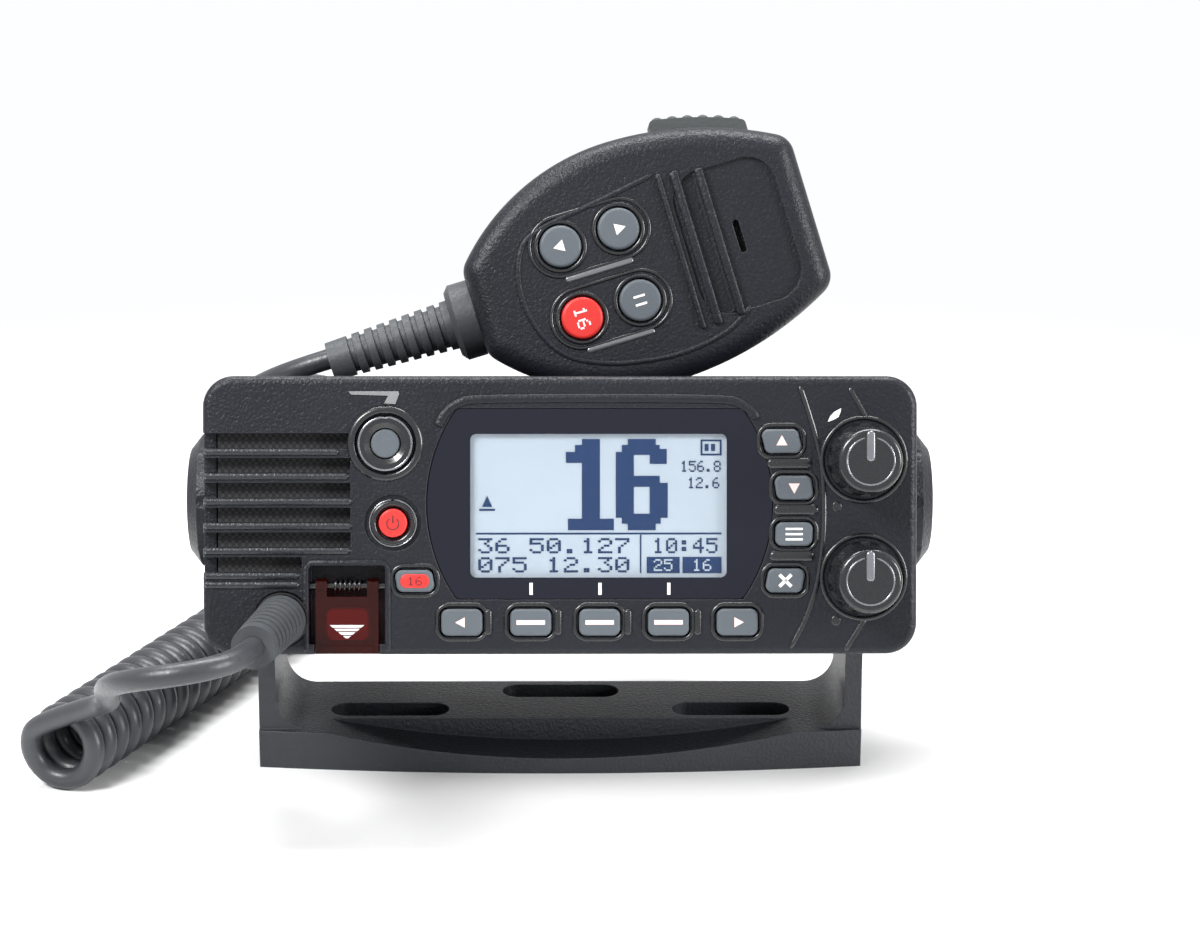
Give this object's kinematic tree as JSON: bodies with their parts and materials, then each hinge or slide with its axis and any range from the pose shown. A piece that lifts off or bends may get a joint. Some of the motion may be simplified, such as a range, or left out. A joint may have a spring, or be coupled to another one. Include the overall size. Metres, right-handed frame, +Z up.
{
  "type": "vhf marine radio",
  "caption": "Fixed-mount VHF marine radio in a tilting bracket: backlit display, keys, knobs, speaker grille, fist microphone on a coiled cord.",
  "frame": {"origin": "on the bracket's foot, on the surface it stands on, straight under the tilt axis and midway between the arms", "axes": "+X right as seen from the front, +Y back into the radio, +Z up; the display faces -Y and tilts up 16 degrees"},
  "size_m": [0.2025, 0.201, 0.1418],
  "materials": {
    "case_plastic": "fine textured black plastic",
    "case_metal": "black painted die casting",
    "black_rubber": "soft matte rubber",
    "steel": "bright steel",
    "window_gloss": "glossy near-black window",
    "screen": "pale blue backlit screen",
    "frame_white": "white light box",
    "board": "green circuit board",
    "mesh": "black cloth mesh",
    "key_grey": "grey rubber",
    "key_red": "red rubber",
    "alarm_orange": "orange-red button",
    "cover_red": "clear dark red plastic",
    "nickel": "nickel plate"
  },
  "bodies": {
    "bracket": {"bracket": "case_plastic", "cord_coil": "black_rubber"},
    "radio": {"front_panel": "case_plastic", "rear_case": "case_metal", "case_seal": "black_rubber", "case_screws": "steel", "display_window": "window_gloss", "display_panel": "screen", "display_frame": "frame_white", "control_board": "board", "main_board": "board", "speaker_driver": "steel", "speaker_mesh": "mesh", "ring_trim": "case_plastic", "ring_cap": "key_grey", "cord_gland": "black_rubber", "radio_boot": "black_rubber", "antenna_connector": "nickel", "rear_grommets": "black_rubber", "volume_encoder": "steel", "squelch_encoder": "steel", "cover_pin": "steel", "cover_spring": "steel", "cord_front": "black_rubber"},
    "key_left_body": {"key_left": "key_grey"},
    "key_soft_left_body": {"key_soft_left": "key_grey"},
    "key_soft_middle_body": {"key_soft_middle": "key_grey"},
    "key_soft_right_body": {"key_soft_right": "key_grey"},
    "key_right_body": {"key_right": "key_grey"},
    "key_up_body": {"key_up": "key_grey"},
    "key_down_body": {"key_down": "key_grey"},
    "key_menu_body": {"key_menu": "key_grey"},
    "key_clear_body": {"key_clear": "key_grey"},
    "key_channel_body": {"key_channel": "key_red"},
    "power_body": {"power_button": "key_red"},
    "volume_body": {"volume_knob": "case_plastic"},
    "squelch_body": {"squelch_knob": "case_plastic"},
    "cover_body": {"distress_cover": "cover_red"},
    "distress_body": {"distress_button": "alarm_orange"},
    "left_washer_body": {"left_clamp_washer": "black_rubber"},
    "left_knob_body": {"left_clamp_knob": "case_plastic"},
    "right_washer_body": {"right_clamp_washer": "black_rubber"},
    "right_knob_body": {"right_clamp_knob": "case_plastic"},
    "mic": {"mic_front_shell": "case_plastic", "mic_rear_shell": "case_plastic", "mic_seal": "black_rubber", "mic_screws": "steel", "mic_board": "board", "mic_speaker": "steel", "mic_hanger_stud": "steel", "mic_collar": "black_rubber", "mic_boot": "black_rubber", "cord_rear": "black_rubber"},
    "ptt_body": {"ptt_button": "key_grey"},
    "mic_key_down_body": {"mic_key_down": "key_grey"},
    "mic_key_up_body": {"mic_key_up": "key_grey"},
    "mic_key_channel_body": {"mic_key_channel": "key_red"},
    "mic_key_power_body": {"mic_key_power": "key_grey"}
  },
  "joints": [
    {"name": "radio_tilt", "type": "hinge", "parent": "bracket", "child": "radio", "pos_m": [0, 0, 0.058], "axis": [1, 0, 0], "range_deg": [-24, 16], "deforming": ["cord_front", "cord_rear"]},
    {"name": "mic_lift", "type": "slide", "parent": "radio", "child": "mic", "axis": [0, 0.2756, 0.9613], "range_m": [0, 0.06], "deforming": ["cord_rear"]},
    {"name": "key_left_press", "type": "slide", "parent": "radio", "child": "key_left_body", "axis": [0, 0.9613, -0.2756], "range_m": [0, 0.0008], "stiffness_N_per_m": 150},
    {"name": "key_soft_left_press", "type": "slide", "parent": "radio", "child": "key_soft_left_body", "axis": [0, 0.9613, -0.2756], "range_m": [0, 0.0008], "stiffness_N_per_m": 150},
    {"name": "key_soft_middle_press", "type": "slide", "parent": "radio", "child": "key_soft_middle_body", "axis": [0, 0.9613, -0.2756], "range_m": [0, 0.0008], "stiffness_N_per_m": 150},
    {"name": "key_soft_right_press", "type": "slide", "parent": "radio", "child": "key_soft_right_body", "axis": [0, 0.9613, -0.2756], "range_m": [0, 0.0008], "stiffness_N_per_m": 150},
    {"name": "key_right_press", "type": "slide", "parent": "radio", "child": "key_right_body", "axis": [0, 0.9613, -0.2756], "range_m": [0, 0.0008], "stiffness_N_per_m": 150},
    {"name": "key_up_press", "type": "slide", "parent": "radio", "child": "key_up_body", "axis": [0, 0.9613, -0.2756], "range_m": [0, 0.0008], "stiffness_N_per_m": 150},
    {"name": "key_down_press", "type": "slide", "parent": "radio", "child": "key_down_body", "axis": [0, 0.9613, -0.2756], "range_m": [0, 0.0008], "stiffness_N_per_m": 150},
    {"name": "key_menu_press", "type": "slide", "parent": "radio", "child": "key_menu_body", "axis": [0, 0.9613, -0.2756], "range_m": [0, 0.0008], "stiffness_N_per_m": 150},
    {"name": "key_clear_press", "type": "slide", "parent": "radio", "child": "key_clear_body", "axis": [0, 0.9613, -0.2756], "range_m": [0, 0.0008], "stiffness_N_per_m": 150},
    {"name": "key_channel_press", "type": "slide", "parent": "radio", "child": "key_channel_body", "axis": [0, 0.9613, -0.2756], "range_m": [0, 0.0008], "stiffness_N_per_m": 150},
    {"name": "power_press", "type": "slide", "parent": "radio", "child": "power_body", "axis": [0, 0.9613, -0.2756], "range_m": [0, 0.0008], "stiffness_N_per_m": 150},
    {"name": "distress_press", "type": "slide", "parent": "radio", "child": "distress_body", "axis": [0, 0.9613, -0.2756], "range_m": [0, 0.0008], "stiffness_N_per_m": 150},
    {"name": "volume_turn", "type": "hinge", "parent": "radio", "child": "volume_body", "pos_m": [0.0637, -0.04533, 0.0813], "axis": [0, 0.9613, -0.2756], "range_deg": [-140, 140]},
    {"name": "squelch_turn", "type": "hinge", "parent": "radio", "child": "squelch_body", "pos_m": [0.0637, -0.05214, 0.05756], "axis": [0, 0.9613, -0.2756], "range_deg": [-140, 140]},
    {"name": "cover_flip", "type": "hinge", "parent": "radio", "child": "cover_body", "pos_m": [-0.0448, -0.04554, 0.05374], "axis": [-1, 0, 0], "range_deg": [0, 100], "stiffness_Nm_per_rad": 0.002, "springref_deg": -17.19},
    {"name": "left_clamp_travel", "type": "slide", "parent": "radio", "child": "left_washer_body", "axis": [-1, 0, 0], "range_m": [0, 0.00225]},
    {"name": "left_clamp_turn", "type": "hinge", "parent": "left_washer_body", "child": "left_knob_body", "pos_m": [-0.076, 0, 0.058], "axis": [-1, 0, 0], "range_deg": [0, 540]},
    {"name": "right_clamp_travel", "type": "slide", "parent": "radio", "child": "right_washer_body", "axis": [1, 0, 0], "range_m": [0, 0.00225]},
    {"name": "right_clamp_turn", "type": "hinge", "parent": "right_washer_body", "child": "right_knob_body", "pos_m": [0.076, 0, 0.058], "axis": [1, 0, 0], "range_deg": [0, 540]},
    {"name": "ptt_press", "type": "slide", "parent": "mic", "child": "ptt_body", "axis": [0.2924, -0.2636, -0.9193], "range_m": [0, 0.0015], "stiffness_N_per_m": 200},
    {"name": "mic_key_down_press", "type": "slide", "parent": "mic", "child": "mic_key_down_body", "axis": [0, 0.9613, -0.2756], "range_m": [0, 0.0008], "stiffness_N_per_m": 150},
    {"name": "mic_key_up_press", "type": "slide", "parent": "mic", "child": "mic_key_up_body", "axis": [0, 0.9613, -0.2756], "range_m": [0, 0.0008], "stiffness_N_per_m": 150},
    {"name": "mic_key_channel_press", "type": "slide", "parent": "mic", "child": "mic_key_channel_body", "axis": [0, 0.9613, -0.2756], "range_m": [0, 0.0008], "stiffness_N_per_m": 150},
    {"name": "mic_key_power_press", "type": "slide", "parent": "mic", "child": "mic_key_power_body", "axis": [0, 0.9613, -0.2756], "range_m": [0, 0.0008], "stiffness_N_per_m": 150}
  ],
  "couplings": [
    {"joint": "left_clamp_travel", "follows": "left_clamp_turn", "m_per_rad": 0.00023873},
    {"joint": "right_clamp_travel", "follows": "right_clamp_turn", "m_per_rad": 0.00023873}
  ]
}
